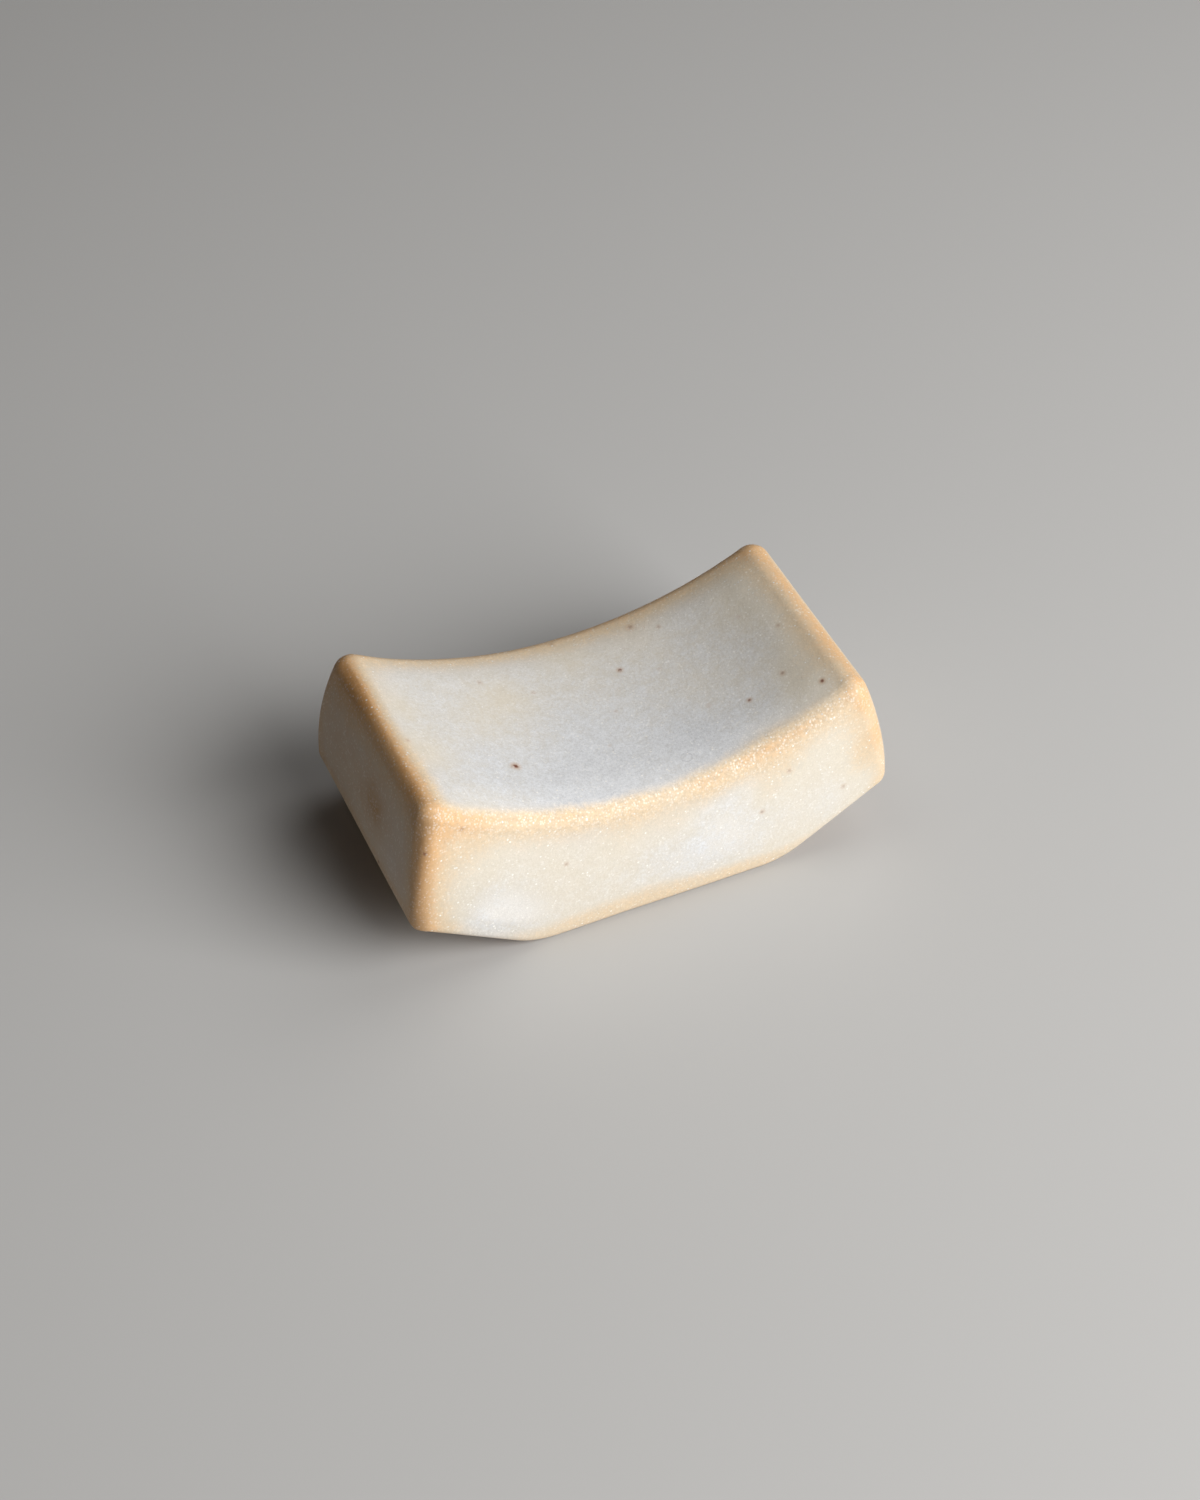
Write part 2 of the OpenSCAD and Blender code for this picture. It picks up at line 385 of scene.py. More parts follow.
def bell(distance, reach, power=2):
    """1 at no distance, dying away over the reach; a higher power makes a flatter top and steeper flanks."""
    return np.exp(-(distance / reach) ** power)


def waves(points, wavelength, seed, count=28):
    """Smooth random height of about -1 to 1: a sum of plane waves in random directions, 0.7 to 1.4 of the
    wavelength long, which is in millimetres."""
    rng = np.random.default_rng(seed)
    heading = rng.normal(size=(count, 3))
    heading /= np.linalg.norm(heading, axis=1, keepdims=True)
    rate = 2 * math.pi / (wavelength * MM * rng.uniform(0.7, 1.4, size=(count, 1)))
    phase = rng.uniform(0, 2 * math.pi, size=count)
    return np.sin(points @ (heading * rate).T + phase).sum(1) / math.sqrt(2 * count)


def made_object(name, points, quads, material, values=None):
    """A smooth mesh object at the origin from points and quads, with its point attributes."""
    mesh = bpy.data.meshes.new(name)
    mesh.from_pydata(points.tolist(), [], quads.tolist())
    mesh.shade_smooth()
    for key, data in (values or {}).items():
        kind, field = ("FLOAT", "value") if data.ndim == 1 else ("FLOAT_VECTOR", "vector")
        layer = mesh.attributes.new(key, kind, "POINT")
        layer.data.foreach_set(field, data.astype(np.float32).ravel())
    mesh.materials.append(material)
    mesh.update()
    piece = bpy.data.objects.new(name, mesh)
    bpy.context.scene.collection.objects.link(piece)
    return piece


class PhotoCamera:
    """The photograph's view: where a point of the object falls in the picture."""

    def __init__(self, studio):
        turn, lift, roll = studio.turn, studio.elevation, studio.roll
        right = np.array([math.cos(turn), -math.sin(turn), 0])
        level = np.array([math.sin(turn), math.cos(turn), 0])
        high = np.array([0, 0, 1])
        up = level * math.sin(lift) + high * math.cos(lift)
        self.forward = level * math.cos(lift) - high * math.sin(lift)
        self.right = right * math.cos(roll) - up * math.sin(roll)
        self.up = right * math.sin(roll) + up * math.cos(roll)
        aim = studio.aim_right * self.right + studio.aim_up * self.up
        self.place = -(aim + studio.distance * self.forward)
        self.focal = studio.focal_pixels

    def pixels(self, points):
        """Pixel of each point: its offset right and down over its depth, times the focal length."""
        seen = points - self.place
        depth = seen @ self.forward
        across = PHOTO_WIDTH / 2 + self.focal * (seen @ self.right) / depth
        down = PHOTO_HEIGHT / 2 - self.focal * (seen @ self.up) / depth
        return np.stack([across, down], -1)


class Outer:
    """The glaze's points as the photograph's camera sees them."""

    def __init__(self, points, normals, shown, camera):
        self.points = points
        self.normals = normals
        self.pixels = camera.pixels(points)
        sight = camera.place - points
        self.facing = (sight * normals).sum(1) / np.linalg.norm(sight, axis=1)
        self.seen = shown & (self.facing > 0)
        self.hidden = shown & (self.facing < HIDDEN_FACING)

    def at(self, pixel):
        """Point of the seen outer face that falls nearest to a pixel."""
        away = np.linalg.norm(self.pixels - pixel, axis=1)
        return self.points[np.where(self.seen, away, np.inf).argmin()]

    def patch(self, pixel, radius):
        """Bell curve of the distance from the point at a pixel, with its radius in millimetres."""
        return bell(np.linalg.norm(self.points - self.at(pixel), axis=1), radius * MM)


# The tables below give lengths in millimetres, and places in the picture as pixels across and down.

# Top edges where the glaze breaks, each value at the start and at the end of the crest: strength, reach of
# the colour down the wall and reach over the saddle
TOP_BREAKS = {
    "front_top": ((0.72, 0.62), (2.4, 2.2), (0.85, 1.2)),
    "right_top": ((0.76, 0.9), (1.4, 1.5), (1.7, 2.6)),
    "back_top": ((0.9, 0.7), (1.6, 1.6), (2.6, 2.3)),
    "left_top": ((1.05, 1.16), (2.6, 2.6), (0.7, 1.5)),
}

# Where the crown starts to rise from each of those edges and where it rises fastest, inward from the crest
CROWN_RISES = ((-1.0, 0.9), (-1.0, 1.4), (-1.0, 0.9), (-1.0, 0.9))

# Upright edges: side along X, side along Y, strength, and reach over the end and over the long face
UPRIGHT_BREAKS = (
    (-1, -1, 1.12, 1.6, 2.2), (1, -1, 0.62, 1.8, 1.8), (-1, 1, 0.9, 1.8, 1.8), (1, 1, 0.8, 1.6, 1.6),
)

# Break along the lower edge of the glaze: place along the length, strength and reach
HEM_BREAK = (
    (-25, 0.5, 1.9), (-14, 0.52, 2.3), (0, 0.56, 3.2), (12, 0.55, 2.2), (16, 0.32, 1.5),
    (25, 0.26, 1.2),
)

# How squarely the colour of a break ends, at the top and upright edges and at the lower edge
BREAK_POWER = 1.6
HEM_POWER = 3.5

# Colours of the glaze, each with the thinness where it starts and where it's whole
THIN_COLOURS = (("white", -0.02, -0.34), ("tan", 0.06, 0.58), ("amber", 0.5, 0.95), ("toast", 0.92, 1.25))

# Sugary grain, which on the front crest, where the key lamp's highlight falls, also paints that highlight as
# grainy: its share far from the front crest, and its reach from there
GRAIN_AND_HIGHLIGHT_LEAST = 0.3
GRAIN_AND_HIGHLIGHT_REACH = 1.9 * MM

# Reach of the toasting of the bare clay, from the edge of the glaze
FLASH_REACH = 2.2 * MM

# Shares of their edges over which the ridges fade, at the back and at the top and foot of the upright edge,
# and what stays at that foot
BACK_FADE = 0.3
HIGH_FADE = 0.12
LOW_FADE = 0.15
LOW_LEAST = 0.3

# Length and seed of each field of waves, and the seed of the specks out of sight
SLOW_WAVES = (15, 1)
RIPPLE_WAVES = (2.4, 2)
GRIT_WAVES = (1.3, 3)
FOOT_WAVES = (9, 4)
COOL_WAVES = (13, 5)
THIN_WAVES = (9, 6)
SPECK_SEED = 11

# Coolness of what stands upright and what lying level adds, depth of the cool waves where the picture shows
# the glaze and what is added out of sight, and depth of the thin waves there
COOL_UPRIGHT = 0.12
COOL_LEVEL = 0.42
COOL_DEPTHS = (0.1, 0.4)
THIN_DEPTH = 0.12

# Rings of faces: the clay's top edge, the glaze's bead, lower edge, wall and top edge, and the bare clay
CLAY_BROW_RINGS = 4
BEAD_RINGS = 6
HEM_RINGS = 5
WALL_RINGS = 46
BROW_RINGS = 13
BARE_RINGS = 12

# Shares of the height at which the clay's wall has a ring, and a share just short of a whole
CLAY_WALL_SHARES = (0.0, 0.33, 0.66, 1.0)
JUST_SHORT_SHARE = 0.999

# Iron specks that show: place, radius and darkness
SEEN_SPECKS = (
    (516, 767, 0.34, 1.0), (620, 669, 0.26, 0.75), (630, 627, 0.38, 0.45), (551, 645, 0.26, 0.35),
    (659, 626, 0.2, 0.38), (480, 683, 0.22, 0.36), (533, 692, 0.18, 0.36), (749, 700, 0.22, 0.66),
    (783, 672, 0.24, 0.5), (823, 680, 0.25, 0.78), (778, 626, 0.2, 0.36), (738, 616, 0.18, 0.28),
    (708, 706, 0.2, 0.25), (615, 712, 0.16, 0.26), (659, 670, 0.18, 0.24), (408, 740, 0.2, 0.36),
    (462, 830, 0.26, 0.42), (423, 854, 0.26, 0.62), (379, 861, 0.22, 0.66), (566, 865, 0.18, 0.42),
    (762, 811, 0.2, 0.46), (790, 771, 0.24, 0.4), (843, 786, 0.24, 0.36), (610, 745, 0.14, 0.2),
)

# Iron specks out of sight: count, and range of radius and of darkness
HIDDEN_SPECKS = 34
HIDDEN_RADII = (0.14, 0.32)
HIDDEN_DARKNESS = (0.3, 0.8)

# Small ring left by a burst bubble: place and radius
SEEN_RING = (686, 758, 0.52)

# Patches that show: place, radius, and how much cooler and thinner the glaze is. Some are the glaze's own
# colour; others are painted light, lightening the glaze near the +X top edge of the saddle and at the +X end
# of the front crest
SEEN_PATCHES = (
    (590, 785, 5.5, 0.75, 0), (480, 770, 4.5, 0.35, 0), (700, 745, 5.0, 0.4, 0),
    (420, 695, 3.6, 0.12, 0), (505, 700, 2.8, -0.34, 0.03), (640, 700, 6.0, 0.1, 0),
    (815, 650, 3.2, -0.6, 0.16), (745, 590, 4.5, -0.35, -0.02), (560, 650, 3.0, -0.3, 0.02),
    (795, 620, 2.6, -0.2, 0.06), (480, 718, 3.0, -0.22, 0.02), (705, 685, 4.5, -0.2, 0),
    (775, 705, 3.4, 0.16, 0), (400, 705, 2.4, -0.3, 0.05), (426, 752, 2.8, -0.35, 0.1),
    (495, 925, 5.2, 0.45, -0.32), (700, 850, 5.5, 0.34, -0.1), (725, 825, 5.0, 0.12, -0.05),
    (830, 800, 3.6, 0.25, -0.08), (770, 820, 3.6, 0.1, -0.03), (462, 868, 4.2, -0.2, 0.14),
    (680, 825, 2.6, -0.3, 0.14), (540, 870, 4.0, -0.15, 0.06), (625, 835, 3.4, -0.3, 0.14),
    (600, 803, 3.0, 0, -0.1), (665, 790, 2.4, 0, -0.12), (770, 738, 3.4, 0, 0.12),
    (712, 794, 2.0, 0, 0.14), (640, 640, 3.6, -0.3, 0.1), (785, 768, 2.4, -0.25, 0.16),
    (765, 795, 1.9, -0.15, 0.18), (866, 742, 2.2, -0.35, 0.36), (860, 712, 1.8, -0.2, 0.22),
    (858, 765, 1.8, -0.25, 0.24), (845, 735, 2.2, -0.1, 0.06), (372, 808, 2.3, -0.3, 0.14),
    (350, 690, 3.6, 0, 0.32), (468, 842, 2.6, -0.1, 0.14), (450, 914, 2.2, -0.3, 0.12),
    (800, 680, 2.6, -0.35, 0.08), (428, 782, 2.2, 0.2, 0.12), (842, 694, 2.0, -0.2, -0.1),
    (392, 862, 3.2, 0.3, -0.08),
)

# Share of the painted shade on the -X end, which faces away from the key lamp, between which parts of the
# normal towards -X and upwards it sets in, and patches with more or less of it: place, radius and share
END_SHADE_SHARE = 0.5
END_SHADE_OUTWARD = (0.08, 0.48)
END_SHADE_UPWARD = (0.8, 0.133)
END_SHADE_PATCHES = (
    (340, 700, 4.6, 0.18), (374, 803, 2.8, 0.4), (365, 840, 3.0, -0.08), (382, 855, 4.0, -0.1),
    (420, 815, 1.6, 0.42),
)


def crest(shape, name, samples=240):
    """Points along the crest of a top edge, where the rounding has turned half way from wall to saddle."""
    t = np.linspace(-1, 1, samples)
    station = {
        "front_top": (t, -1, -QUARTER_TURN),
        "right_top": (1, t, 0),
        "back_top": (-t, 1, QUARTER_TURN),
        "left_top": (-1, -t, 2 * QUARTER_TURN),
    }[name]
    return shape.surface(*station, 1, QUARTER_TURN / 2, shape.sizes.glaze_thickness)[0]


def upright(shape, side_x, side_y, samples=80):
    """Points along an upright edge, from the underside to the top."""
    up = np.linspace(0, 1, samples)
    heading = math.atan2(side_y, side_x)
    return shape.surface(side_x, side_y, heading, up, 0, shape.sizes.glaze_thickness)[0]


def hem(shape, samples=600):
    """Points along the lower edge of the glaze, all round."""
    ring = shape.stations(samples // 3, samples // 6, 4)
    return shape.surface(*ring.T, 0, -shape.sizes.glaze_turn_under, 0)[0]


def nearest_on(points, line, chunk=4000):
    """Distance from each point to the nearest point of a line, and that point's place in the line."""
    distance = np.empty(len(points))
    nearest = np.empty(len(points), int)
    for start in range(0, len(points), chunk):
        part = points[start:start + chunk]
        away = ((part[:, None] - line[None]) ** 2).sum(-1)
        nearest[start:start + chunk] = away.argmin(1)
        distance[start:start + chunk] = np.sqrt(away.min(1))
    return distance, nearest


def run_along(points, line):
    """Distance from each point to a line, and the share of the line run where it's nearest."""
    distance, nearest = nearest_on(points, line)
    return distance, nearest / (len(line) - 1)


def edge_break(points, normals, tilt, shape, crests):
    """How far the glaze has broken at each point: one less the product of what each edge leaves unbroken. An
    edge breaks it by its strength times a bell curve of the distance."""
    unbroken = np.ones(len(points))
    for name, pairs in TOP_BREAKS.items():
        distance, along = crests[name]
        strength, down, over = (start + (end - start) * along for start, end in pairs)
        reach = MM * np.where(tilt > QUARTER_TURN / 2, over, down)
        unbroken = unbroken * (1 - strength * bell(distance, reach, BREAK_POWER))
    on_end = np.abs(normals[:, 0]) > np.abs(normals[:, 1])
    for side_x, side_y, strength, over_end, over_face in UPRIGHT_BREAKS:
        distance = nearest_on(points, upright(shape, side_x, side_y))[0]
        reach = MM * np.where(on_end, over_end, over_face)
        unbroken = unbroken * (1 - strength * bell(distance, reach, BREAK_POWER))
    distance = nearest_on(points, hem(shape))[0]
    places, strengths, reaches = zip(*HEM_BREAK)
    strength, reach = (np.interp(points[:, 0] / MM, places, values) for values in (strengths, reaches))
    return 1 - unbroken * (1 - strength * bell(distance, reach * MM, HEM_POWER))


def crown(tilt, sizes, crests):
    """Height of the saddle's crown. Inward from each crest its slope grows evenly and then falls evenly to
    nothing, so the height is a smooth step of two parabolas, and the steps of the four edges multiply."""
    widths = (sizes.crown_front, sizes.crown_right, sizes.crown_back, sizes.crown_left)
    risen = 1.0
    for (distance, _), rise, high in zip(crests.values(), CROWN_RISES, widths):
        low, peak = (place * MM for place in rise)
        inward = np.where(tilt > QUARTER_TURN / 2, 1, -1) * distance
        rising = np.clip(inward - low, 0, peak - low) ** 2 / (peak - low)
        falling = (high - peak) - np.clip(high - inward, 0, high - peak) ** 2 / (high - peak)
        risen = risen * (rising + np.where(inward > peak, falling, 0)) / (high - low)
    return sizes.crown * risen


def ridges(points, normals, shape, crests):
    """Height of the ridges that sharpen the -X end's edges to the saddle and to the front, by bell curves of
    the distance. The first fades out to the back. The second lies further forward the higher it is, fades at
    its foot and dies out at its top."""
    sizes = shape.sizes
    distance, along = crests["left_top"]
    top = bell(distance, sizes.ridge_width) * ramp(along, 0, BACK_FADE)
    distance, risen = run_along(points, upright(shape, -1, -1))
    aside = np.where(normals[:, 1] < normals[:, 0], distance, -distance)
    aside = aside - sizes.ridge_low - (sizes.ridge_high - sizes.ridge_low) * risen
    fade = ramp(1 - risen, 0, HIGH_FADE) * np.maximum(ramp(risen, 0, LOW_FADE), LOW_LEAST)
    return sizes.top_ridge * top + sizes.upright_ridge * bell(aside, sizes.ridge_width) * fade


def speck_fields(outer, rng):
    """Offset from the nearest iron speck over its radius, and its darkness. The offset is linear in place,
    so it stays exact inside a face."""
    across, down, radii, darks = (list(column) for column in zip(*SEEN_SPECKS))
    centres = [outer.at(pixel) for pixel in zip(across, down)]
    for pick in rng.choice(np.flatnonzero(outer.hidden), HIDDEN_SPECKS, replace=False):
        centres.append(outer.points[pick])
        radii.append(rng.uniform(*HIDDEN_RADII))
        darks.append(rng.uniform(*HIDDEN_DARKNESS))
    centres, radii, darks = np.array(centres), np.array(radii) * MM, np.array(darks)
    nearest = nearest_on(outer.points, centres)[1]
    return (outer.points - centres[nearest]) / radii[nearest][:, None], darks[nearest]


def patch_fields(outer):
    """Coolness, thinness and painted shade at each point: what lies level is cooler, the -X end, which faces
    away from the key lamp, gets painted shade, each patch adds a bell curve, and slow random fields are
    strongest where the picture shows nothing."""
    cool = np.zeros(len(outer.points))
    thin = np.zeros(len(outer.points))
    smoked = np.full(len(outer.points), END_SHADE_SHARE)
    # Some patches are the glaze's own colour, others painted light that lightens it
    for *pixel, radius, cooler, thinner in SEEN_PATCHES:
        spot = outer.patch(pixel, radius)
        cool += cooler * spot
        thin += thinner * spot
    for *pixel, radius, more in END_SHADE_PATCHES:
        smoked += more * outer.patch(pixel, radius)
    # Painted shade: it stays only where the normal turns towards -X, away from the key lamp, and not upwards
    smoked *= ramp(-outer.normals[:, 0], *END_SHADE_OUTWARD) * ramp(outer.normals[:, 2], *END_SHADE_UPWARD)
    unseen = ramp(outer.facing, SEEN_FACING, HIDDEN_FACING)
    seen_depth, more_depth = COOL_DEPTHS
    cool += COOL_UPRIGHT + COOL_LEVEL * outer.normals[:, 2].clip(0, 1)
    cool += (seen_depth + more_depth * unseen) * waves(outer.points, *COOL_WAVES)
    thin += THIN_DEPTH * unseen * waves(outer.points, *THIN_WAVES)
    return cool, thin, smoked


class Wire:
    """A number socket of a material, so that its maths reads as an expression."""

    def __init__(self, finish, socket):
        self.finish = finish
        self.socket = socket

    def math(self, operation, other=0.0, swapped=False):
        pair = (other, self) if swapped else (self, other)
        return self.finish.node("Math", {"operation": operation}, dict(enumerate(pair)))

    def __add__(self, other):
        return self.math("ADD", other)

    def __sub__(self, other):
        return self.math("SUBTRACT", other)

    def __rsub__(self, other):
        return self.math("SUBTRACT", other, swapped=True)

    def __mul__(self, other):
        return self.math("MULTIPLY", other)

    __radd__ = __add__
    __rmul__ = __mul__

    def most(self, other):
        return self.math("MAXIMUM", other)

    def size(self):
        return self.math("ABSOLUTE")

    def step(self, low, high):
        """0 below low, 1 above high and a smooth step between them; low may lie above high."""
        sockets = {"Value": self, "From Min": low, "From Max": high}
        return self.finish.node("MapRange", {"interpolation_type": "SMOOTHSTEP"}, sockets)


class Finish:
    """A material whose nodes are made one call at a time."""

    def __init__(self, name):
        self.material = bpy.data.materials.new(name)
        self.material.use_nodes = True
        self.tree = self.material.node_tree
        self.tree.nodes.clear()

    def node(self, kind, settings=None, sockets=None, output=0):
        """Makes a shader node, sets it, fills its sockets with values or links, and gives its output."""
        made = self.tree.nodes.new(f"ShaderNode{kind}")
        for key, value in (settings or {}).items():
            setattr(made, key, value)
        for key, value in (sockets or {}).items():
            if isinstance(value, Wire):
                self.tree.links.new(value.socket, made.inputs[key])
            else:
                made.inputs[key].default_value = value
        return Wire(self, made.outputs[output])

    def place(self):
        """Object coordinates in millimetres."""
        return self.scaled(self.node("TexCoord", output="Object"), 1 / MM)

    def attribute(self, name, output="Fac"):
        return self.node("Attribute", {"attribute_name": name}, output=output)

    def noise(self, place, scale, detail=2.0, roughness=0.5, output=0):
        """Noise about 0.5 with scale features a millimetre."""
        sockets = {"Vector": place, "Scale": scale, "Detail": detail, "Roughness": roughness}
        return self.node("TexNoise", None, sockets, output)

    def cells(self, place, scale, output="Distance"):
        """Voronoi cells, scale of them a millimetre."""
        return self.node("TexVoronoi", None, {"Vector": place, "Scale": scale}, output)

    def channel(self, value, which):
        """Red, green or blue of a colour, as 0, 1 or 2."""
        return self.node("SeparateColor", None, {0: value}, which)

    def mixed(self, part, low, high):
        """Colour between low and high."""
        low, high = (v if isinstance(v, Wire) else (*v, 1.0) for v in (low, high))
        return self.node("Mix", {"data_type": "RGBA"}, {0: part, 6: low, 7: high}, output=2)

    def vector(self, operation, first, second=(0.0, 0.0, 0.0), output="Vector"):
        return self.node("VectorMath", {"operation": operation}, {0: first, 1: second}, output)

    def scaled(self, vector, factor):
        sockets = {0: vector, "Scale": factor}
        return self.node("VectorMath", {"operation": "SCALE"}, sockets, "Vector")

    def centred(self, value):
        """A colour of 0 to 1 as a vector of -0.5 to 0.5."""
        return self.vector("SUBTRACT", value, (0.5, 0.5, 0.5))

    def bumped(self, height, depth):
        """Normal of a height of 0 to 1 that stands for depth."""
        return self.node("Bump", None, {"Height": height, "Distance": depth, "Strength": 1.0})

    def principled(self, **sockets):
        """A Principled surface with these sockets."""
        named = {key.replace("_", " "): value for key, value in sockets.items()}
        return self.node("BsdfPrincipled", None, named)

    def finished(self, surface):
        """Joins a surface to the material's output."""
        output = self.tree.nodes.new("ShaderNodeOutputMaterial")
        self.tree.links.new(surface.socket, output.inputs["Surface"])
        return self.material


def glaze_material(look):
    """Matt glaze: cool where thick, cream elsewhere, amber where it breaks over an edge, with sugary grain
    that on the front crest also paints a grainy highlight, painted shade on the -X end, fine pale crystals
    whose brightest ones are painted glints, and iron specks that have melted through."""
    f = Finish("matt_glaze")
    place = f.place()
    cloud = f.noise(place, 0.16, 3.0) - 0.5
    mottle = f.noise(place, 0.8, 4.0, 0.6) - 0.5
    grain = f.noise(place, 3.2, 3.0, 0.65) - 0.5
    dust = f.noise(place, 8.0, 1.0) - 0.5

    cool = f.attribute("cool") + cloud * 0.35 + mottle * 0.6 + grain * 0.4
    body = f.mixed(cool.step(0.0, 1.0), look.cream, look.cool)
    thin = f.attribute("thin") + mottle * 0.3 + cloud * 0.2 + grain * 0.16
    for tint, start, end in THIN_COLOURS:
        body = f.mixed(thin.step(start, end), body, getattr(look, tint))

    # Painted shade on the -X end: the colour there is darkened towards the end-shade colour, mottled by the
    # noise
    smoked = f.attribute("smoked")
    body = f.mixed(smoked * (1.0 + mottle * 0.8 + grain * 0.4), body, look.smoked)

    edge = thin.step(0.12, 0.5) * f.attribute("sugared")
    sugar = f.noise(place, 2.7, 2.0, 0.6) - 0.5
    fleck = grain * 0.26 + dust * 0.24 + mottle * 0.19
    # On the front crest the sugar flecks in the colour are partly the glaze's grain and partly a painted
    # grainy highlight
    tint = fleck * (cool.step(0.0, 1.0) * 0.8 + 0.7) + sugar * edge * 0.42 + 1.0
    body = f.scaled(body, tint)

    wander = f.scaled(f.centred(f.noise(place, 3.0, 2.0, output="Color")), 0.7)
    away = f.vector("LENGTH", f.vector("ADD", f.attribute("speck", "Vector"), wander), output="Value")
    dark = f.attribute("speck_dark")
    body = f.mixed(away.step(2.3, 0.6) * dark * 0.6, body, look.rust)
    body = f.mixed(away.step(1.05, 0.25) * dark.step(0.1, 1.0), body, look.iron)
    ring = f.vector("LENGTH", f.attribute("ring", "Vector"), output="Value") - 1.0
    body = f.scaled(body, 1.0 - ring.size().step(0.22, 0.05) * 0.12)

    height = grain * 0.65 + dust * 0.2 + mottle * 0.5 + sugar * edge + 0.5
    bumps = f.bumped(height, look.grain_height)
    rough = look.roughness + mottle * 0.1 + grain * 0.1
    glass = f.principled(Base_Color=body, Roughness=rough, Normal=bumps, Specular_IOR_Level=look.sheen_level)

    flakes = f.cells(place, look.crystal_rate)
    picked = f.cells(place, look.crystal_rate, "Color")
    facets = f.scaled(f.centred(picked), (edge * 0.4 + 0.35) * look.facet_tilt)
    tilted = f.vector("NORMALIZE", f.vector("ADD", bumps, facets))
    # Painted glints: the brightest crystals are whitened towards the crystal colour as sparkle, and left out
    # on the painted shade of the -X end
    painted_glint = f.channel(picked, 1).step(0.968, 0.988) * smoked.step(0.3, 0.05)
    pale = f.mixed(edge * 0.04 + painted_glint * 0.5 + 0.38, body, look.crystal)
    crystal = f.principled(Base_Color=pale, Roughness=look.crystal_roughness, Normal=tilted)
    chosen = f.channel(picked, 2).step(0.76, 0.9)
    crowded = chosen.most(edge * f.channel(picked, 0).step(0.35, 0.65))
    sown = flakes.step(0.58, 0.3) * crowded.most(painted_glint * 1.25) * 0.78
    return f.finished(f.node("MixShader", None, {0: sown, 1: glass, 2: crystal}))


def clay_material(look):
    """Bare stoneware: sandy buff clay with pale grog and dark iron grains, toasted beside the glaze."""
    f = Finish("bare_stoneware")
    place = f.place()
    cloud = f.noise(place, 0.22, 3.0)
    mottle = f.noise(place, 1.1, 4.0, 0.65)
    grain = f.noise(place, 4.5, 3.0, 0.7)
    flash = f.attribute("flash") + (mottle - 0.5) * 0.5 + (cloud - 0.5) * 0.3
    body = f.mixed(flash.step(0.15, 0.95), look.buff, look.flash)
    picked = f.channel(f.cells(place, look.grain_rate, "Color"), 0)
    near = f.cells(place, look.grain_rate)
    body = f.mixed(near.step(0.36, 0.22) * picked.step(0.7, 0.76) * 0.7, body, look.grog)
    body = f.mixed(near.step(0.3, 0.18) * picked.step(0.14, 0.09) * 0.8, body, look.iron)
    body = f.scaled(body, 1.0 + (grain - 0.5) * 0.5 + (mottle - 0.5) * 0.25)
    bumps = f.bumped(grain * 0.6 + mottle * 0.6 + near * 0.3, look.grit_height)
    return f.finished(f.principled(Base_Color=body, Roughness=look.roughness, Normal=bumps))


def bead_tilts(sizes):
    """Tilts at the edge of the glaze and where its bead is full."""
    return -sizes.glaze_turn_under, sizes.glaze_bead_turn - sizes.glaze_turn_under


def clay_hem_tilts(sizes):
    """Tilts of the clay's rings round its lower edge, from the edge of the glaze upwards."""
    edge, full = bead_tilts(sizes)
    return np.array([edge, full * JUST_SHORT_SHARE, edge / 2])


class MESH_OT_rest_glaze(bpy.types.Operator):
    """Make the glaze: a closed skin over the saddle, sides and ends, with a rounded lower edge"""

    bl_idname = "mesh.rest_glaze"
    bl_label = "Glaze"

    def execute(self, context):
        scene = context.scene
        sizes = scene.rest_sizes
        shape = RestShape(sizes)
        skin = Skin(shape)
        edge, full = bead_tilts(sizes)
        skin.rows(1, span(QUARTER_TURN, 0, CLAY_BROW_RINGS), 0)
        skin.rows(CLAY_WALL_SHARES[::-1], 0, 0)
        skin.rows(0, clay_hem_tilts(sizes)[::-1], 0)
        skin.rows(0, reached(edge, full, BEAD_RINGS), 1)
        skin.rows(0, reached(full, 0, HEM_RINGS), 1)
        skin.rows(reached(0, 1, WALL_RINGS), 0, 1)
        skin.rows(1, reached(0, QUARTER_TURN, BROW_RINGS), 1)
        top = skin.count - skin.size
        skin.cap(0, 1, QUARTER_TURN, 0, upward=False)
        skin.cap(top, 1, QUARTER_TURN, 1, upward=True)
        points, normals, parameters, quads = skin.solved()

        up, tilt, covered = parameters[:, 3:].T
        crests = {name: run_along(points, crest(shape, name)) for name in TOP_BREAKS}
        relief = sizes.slow_relief * waves(points, *SLOW_WAVES)
        relief += sizes.ripple_relief * waves(points, *RIPPLE_WAVES)
        relief += crown(tilt, sizes, crests) + ridges(points, normals, shape, crests)
        thickness_share = covered * shape.bead(tilt, up) / sizes.glaze_thickness
        moved = points + normals * (relief * thickness_share)[:, None]

        outer = Outer(moved, normals, covered > 0, PhotoCamera(scene.rest_studio))
        cool, thin, smoked = patch_fields(outer)
        thin += edge_break(points, normals, tilt, shape, crests)
        front = bell(crests["front_top"][0], GRAIN_AND_HIGHLIGHT_REACH)
        sugared = GRAIN_AND_HIGHLIGHT_LEAST + (1 - GRAIN_AND_HIGHLIGHT_LEAST) * front
        specks, darkness = speck_fields(outer, np.random.default_rng(SPECK_SEED))
        *pixel, radius = SEEN_RING
        ring = (moved - outer.at(pixel)) / (radius * MM)
        values = {"thin": thin, "cool": cool, "smoked": smoked, "sugared": sugared, "speck_dark": darkness,
                  "speck": specks, "ring": ring}
        piece = made_object("glaze_skin", moved, quads, glaze_material(scene.rest_glaze), values)
        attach(piece, "root")
        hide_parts("glaze_coat")
        return {"FINISHED"}


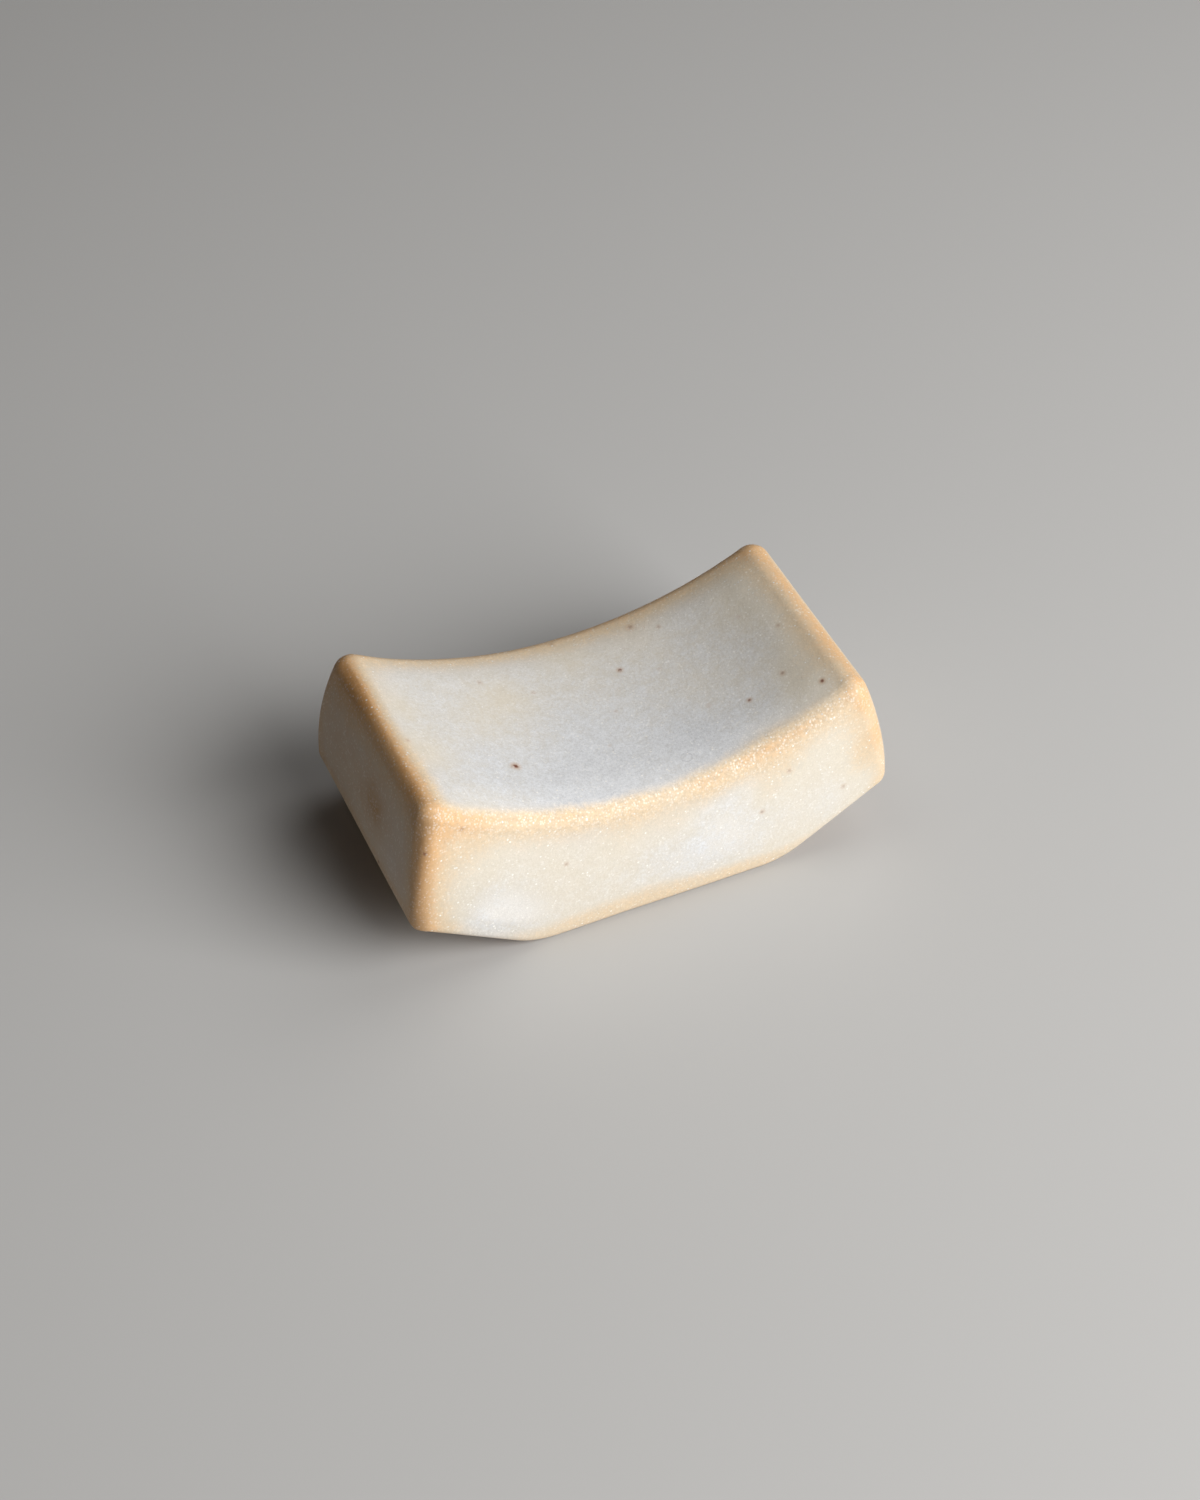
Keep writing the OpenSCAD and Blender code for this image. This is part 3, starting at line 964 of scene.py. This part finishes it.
class MESH_OT_rest_clay(bpy.types.Operator):
    """Make the stoneware block: the body inside the glaze, and its bare underside with a flat foot"""

    bl_idname = "mesh.rest_clay"
    bl_label = "Stoneware"

    def execute(self, context):
        scene = context.scene
        sizes = scene.rest_sizes
        shape = RestShape(sizes)
        skin = Skin(shape)
        edge = bead_tilts(sizes)[0]
        skin.rows(0, span(-QUARTER_TURN, edge, BARE_RINGS), 0)
        skin.rows(0, clay_hem_tilts(sizes), 0)
        skin.rows(CLAY_WALL_SHARES, 0, 0)
        skin.rows(1, reached(0, QUARTER_TURN, CLAY_BROW_RINGS), 0)
        top = skin.count - skin.size
        skin.cap(0, 0, -QUARTER_TURN, 0, upward=False)
        skin.cap(top, 1, QUARTER_TURN, 0, upward=True)
        points, normals, parameters, quads = skin.solved()

        up, tilt = parameters[:, 3:5].T
        bare = (up == 0) & (tilt < edge)
        relief = sizes.grit_relief * waves(points, *GRIT_WAVES)
        relief += sizes.slow_relief / 2 * waves(points, *FOOT_WAVES)
        moved = points + normals * (relief * bare)[:, None]
        moved[:, 2] = np.maximum(moved[:, 2], 0)
        values = {"flash": bell(nearest_on(points, hem(shape))[0], FLASH_REACH)}
        piece = made_object("stoneware_block", moved, quads, clay_material(scene.rest_clay), values)
        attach(piece, "root")
        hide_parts("clay_body")
        return {"FINISHED"}


def floor_piece(studio):
    """One flat square at table height, of a plain colour."""
    points = studio.floor_size / 2 * np.array([[-1, -1, 0], [1, -1, 0], [1, 1, 0], [-1, 1, 0]])
    f = Finish("plain_floor")
    surface = f.principled(Base_Color=(*studio.floor_colour, 1.0), Roughness=studio.floor_roughness,
                           Specular_IOR_Level=studio.floor_sheen)
    floor = made_object("floor", points, np.array([[0, 1, 2, 3]]), f.finished(surface))


def lamp(studio, name):
    """A square soft box facing the origin, with the studio's values that start with its name."""
    keys = ("power", "size", "colour", "elevation", "azimuth")
    power, size, tint, elevation, azimuth = (getattr(studio, f"{name}_{key}") for key in keys)
    distance = studio.lamp_distance
    level = math.cos(elevation) * distance
    place = (level * math.cos(azimuth), level * math.sin(azimuth), math.sin(elevation) * distance)
    data = bpy.data.lights.new(name, "AREA")
    data.energy = power
    data.size = size
    data.color = tint
    made = bpy.data.objects.new(name, data)
    direction = -np.array(place) / np.linalg.norm(place)
    side = np.cross(direction, (0, 0, 1))
    side /= np.linalg.norm(side)
    made.matrix_world = matrix_of(side, np.cross(side, direction), -direction, place)
    bpy.context.scene.collection.objects.link(made)


def matrix_of(x_axis, y_axis, z_axis, place):
    """Matrix with these axes and place as its columns."""
    rows = np.eye(4)
    rows[:3] = np.stack([x_axis, y_axis, z_axis, place], -1)
    return Matrix(rows.tolist())


class SCENE_OT_rest_stage(bpy.types.Operator):
    """Make the floor, the lamps, the world and the camera at the photograph's view"""

    bl_idname = "scene.rest_stage"
    bl_label = "Stage"

    def execute(self, context):
        scene = context.scene
        studio = scene.rest_studio
        floor_piece(studio)
        lamp(studio, "key")
        lamp(studio, "fill")

        world = bpy.data.worlds.new("soft_sky")
        world.use_nodes = True
        background = world.node_tree.nodes["Background"]
        background.inputs["Color"].default_value = (*studio.sky_colour, 1.0)
        background.inputs["Strength"].default_value = studio.sky_strength
        scene.world = world

        view = PhotoCamera(studio)
        data = bpy.data.cameras.new("photo_view")
        data.sensor_width = SENSOR_WIDTH
        data.lens = studio.focal_pixels * SENSOR_WIDTH / PHOTO_HEIGHT
        data.clip_start = NEAREST_SEEN
        camera = bpy.data.objects.new("photo_view", data)
        camera.matrix_world = matrix_of(view.right, view.up, -view.forward, view.place)
        scene.collection.objects.link(camera)
        scene.camera = camera
        scene.view_settings.view_transform = "Standard"
        return {"FINISHED"}


class VIEW3D_PT_rest(bpy.types.Panel):
    """Buttons for each piece of the rest"""

    bl_label = "Chopstick rest"
    bl_space_type = "VIEW_3D"
    bl_region_type = "UI"
    bl_category = "Chopstick rest"

    def draw(self, context):
        for operator in OPERATORS:
            self.layout.operator(operator.bl_idname)
        for name in GROUPS:
            box = self.layout.box()
            group = getattr(context.scene, name)
            for key in group.__annotations__:
                box.prop(group, key)


GROUPS = {"rest_sizes": RestSizes, "rest_glaze": GlazeFinish, "rest_clay": ClayFinish,
          "rest_studio": Studio}
OPERATORS = (SCENE_OT_rest_stage, MESH_OT_rest_glaze, MESH_OT_rest_clay)
CLASSES = (*GROUPS.values(), *OPERATORS, VIEW3D_PT_rest)


def register():
    for kind in CLASSES:
        bpy.utils.register_class(kind)
    for name, kind in GROUPS.items():
        setattr(bpy.types.Scene, name, PointerProperty(type=kind))


def unregister():
    for name in GROUPS:
        delattr(bpy.types.Scene, name)
    for kind in reversed(CLASSES):
        bpy.utils.unregister_class(kind)


def main():
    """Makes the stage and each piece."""
    register()
    bpy.ops.scene.rest_stage()
    bpy.ops.mesh.rest_glaze()
    bpy.ops.mesh.rest_clay()


if __name__ == "__main__":
    main()
